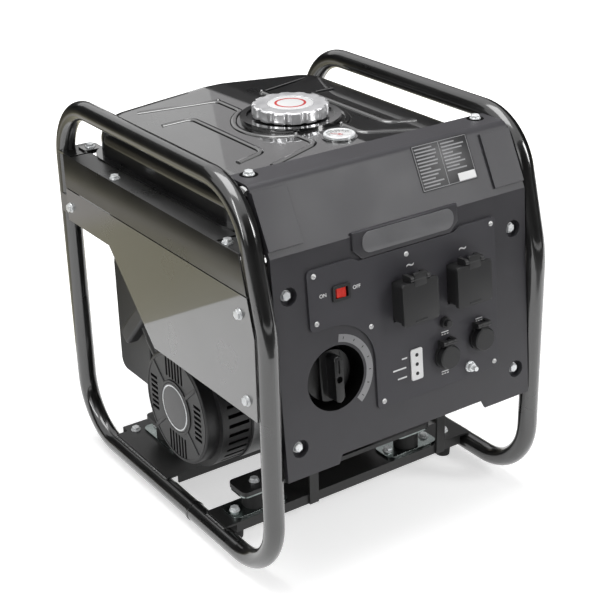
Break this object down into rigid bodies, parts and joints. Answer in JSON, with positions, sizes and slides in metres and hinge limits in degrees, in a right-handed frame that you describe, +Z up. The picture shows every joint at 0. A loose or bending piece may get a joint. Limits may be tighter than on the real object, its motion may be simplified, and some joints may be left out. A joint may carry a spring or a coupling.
{
  "type": "portable generator",
  "caption": "Open-frame portable inverter generator: bent-tube loops around a recoil-started engine, a fuel tank on top and a front panel with outlets under lids.",
  "frame": {"origin": "on the ground under the centre of the whole object's box", "axes": "+Z is up, the control panel faces -Y, the recoil starter is on the -X side"},
  "size_m": [0.4394, 0.5196, 0.518],
  "materials": {
    "tube_black": "gloss black paint on bent tube",
    "sheet_black": "gloss black paint on folded sheet",
    "tank_black": "deep gloss black paint",
    "panel_charcoal": "satin charcoal paint",
    "plate_grey": "matte dark grey plate",
    "zinc": "bright zinc plating",
    "screw_steel": "bright pan heads",
    "rubber_black": "black rubber",
    "plastic_black": "black moulded plastic",
    "switch_red": "red rocker",
    "strip_white": "white lamp strip",
    "cap_chrome": "bright chrome",
    "gauge_dark": "black gauge body",
    "badge_dark": "dark badge",
    "cast_aluminium": "cast aluminium",
    "cover_black": "black pressed cover",
    "plug_white": "rubber boot on a steel body",
    "exhaust_steel": "heat-dulled steel",
    "shaft_steel": "machined steel",
    "flywheel_iron": "cast iron",
    "winding_copper": "copper windings",
    "rope_fibre": "black braided rope"
  },
  "bodies": {
    "frame": {"frame_loop_left": "tube_black", "frame_loop_right": "tube_black", "front_crossmember": "sheet_black", "rear_crossmember": "sheet_black", "engine_base": "sheet_black", "side_rail_left": "sheet_black", "side_rail_right": "sheet_black", "side_panel_left": "sheet_black", "side_panel_right": "sheet_black", "fuel_tank": "tank_black", "front_panel": "panel_charcoal", "control_plate": "plate_grey", "deck_bolts": "zinc", "panel_bolts": "zinc", "mount_plates": "zinc", "ground_terminal": "zinc", "plate_screws": "screw_steel", "rubber_feet": "rubber_black", "rubber_mounts": "rubber_black", "fuel_hoses": "rubber_black", "rocker_bezel": "plastic_black", "outlet_bodies": "plastic_black", "dc_socket": "plastic_black", "usb_socket": "plastic_black", "breaker_body": "plastic_black", "airbox": "plastic_black", "airbox_cover": "plastic_black", "fan_housing": "plastic_black", "recoil_cover": "plastic_black", "indicator_strip": "strip_white", "fuel_gauge": "gauge_dark", "recoil_badge": "badge_dark", "crankcase": "cast_aluminium", "crankcase_cover": "cast_aluminium", "cylinder": "cast_aluminium", "cylinder_head": "cast_aluminium", "inverter_module": "cast_aluminium", "alternator_housing": "cast_aluminium", "fuel_valve": "cast_aluminium", "carburettor": "cast_aluminium", "rocker_cover": "cover_black", "spark_plug": "plug_white", "muffler": "exhaust_steel", "stator": "winding_copper", "starter_rope": "rope_fibre"},
    "handle": {"pull_handle": "plastic_black"},
    "pulley": {"recoil_pulley": "plastic_black"},
    "rotor": {"crankshaft": "shaft_steel", "flywheel": "flywheel_iron", "cooling_fan": "plastic_black"},
    "tank_cap": {"fuel_cap": "cap_chrome"},
    "knob": {"rotary_knob": "plastic_black"},
    "rocker": {"eco_rocker": "switch_red"},
    "lid_left": {"outlet_lid_left": "plastic_black"},
    "lid_right": {"outlet_lid_right": "plastic_black"},
    "dc_cap": {"dc_socket_cap": "plastic_black"},
    "usb_cap": {"usb_socket_cap": "plastic_black"},
    "breaker": {"breaker_button": "plastic_black"},
    "dipstick": {"oil_dipstick": "plastic_black"}
  },
  "joints": [
    {"name": "starter_pull", "type": "slide", "parent": "frame", "child": "handle", "axis": [-0.8533, 0.3761, 0.3611], "range_m": [0, 0.6], "stiffness_N_per_m": 12, "springref_m": -0.25, "deforming": ["starter_rope"]},
    {"name": "starter_pulley_turn", "type": "hinge", "parent": "frame", "child": "pulley", "pos_m": [-0.178, 0.0099, 0.1445], "axis": [1, 0, 0], "range_deg": [0, 900]},
    {"name": "crankshaft_turn", "type": "hinge", "parent": "frame", "child": "rotor", "pos_m": [0, 0.0099, 0.1445], "axis": [1, 0, 0], "continuous": true},
    {"name": "fuel_cap_turn", "type": "hinge", "parent": "frame", "child": "tank_cap", "pos_m": [0, 0.0059, 0.5036], "axis": [0, 0, 1], "range_deg": [0, 90]},
    {"name": "knob_turn", "type": "hinge", "parent": "frame", "child": "knob", "pos_m": [-0.11, -0.23853, 0.26705], "axis": [0, -0.9962, 0.0872], "range_deg": [0, 90]},
    {"name": "rocker_tilt", "type": "hinge", "parent": "frame", "child": "rocker", "pos_m": [-0.097, -0.22706, 0.36944], "axis": [0, 0.0872, 0.9962], "range_deg": [0, 16]},
    {"name": "outlet_lid_left_turn", "type": "hinge", "parent": "frame", "child": "lid_left", "pos_m": [0, -0.25205, 0.36952], "axis": [-1, 0, 0], "range_deg": [0, 110], "stiffness_Nm_per_rad": 0.012, "springref_deg": -28.65},
    {"name": "outlet_lid_right_turn", "type": "hinge", "parent": "frame", "child": "lid_right", "pos_m": [0.0825, -0.25205, 0.36952], "axis": [-1, 0, 0], "range_deg": [0, 110], "stiffness_Nm_per_rad": 0.012, "springref_deg": -28.65},
    {"name": "dc_cap_turn", "type": "hinge", "parent": "frame", "child": "dc_cap", "pos_m": [0.05, -0.24931, 0.2689], "axis": [-1, 0, 0], "range_deg": [0, 120], "stiffness_Nm_per_rad": 0.004, "springref_deg": -28.65},
    {"name": "usb_cap_turn", "type": "hinge", "parent": "frame", "child": "usb_cap", "pos_m": [0.105, -0.24862, 0.27687], "axis": [-1, 0, 0], "range_deg": [0, 120], "stiffness_Nm_per_rad": 0.004, "springref_deg": -28.65},
    {"name": "breaker_press", "type": "slide", "parent": "frame", "child": "breaker", "axis": [0, 0.9962, -0.0872], "range_m": [0, 0.003], "stiffness_N_per_m": 300, "springref_m": -0.002},
    {"name": "dipstick_turn", "type": "hinge", "parent": "frame", "child": "dipstick", "pos_m": [0.045, -0.0501, 0.098], "axis": [0, -0.866, 0.5], "continuous": true}
  ],
  "couplings": [
    {"joint": "starter_pulley_turn", "follows": "starter_pull", "rad_per_m": 24.691}
  ]
}
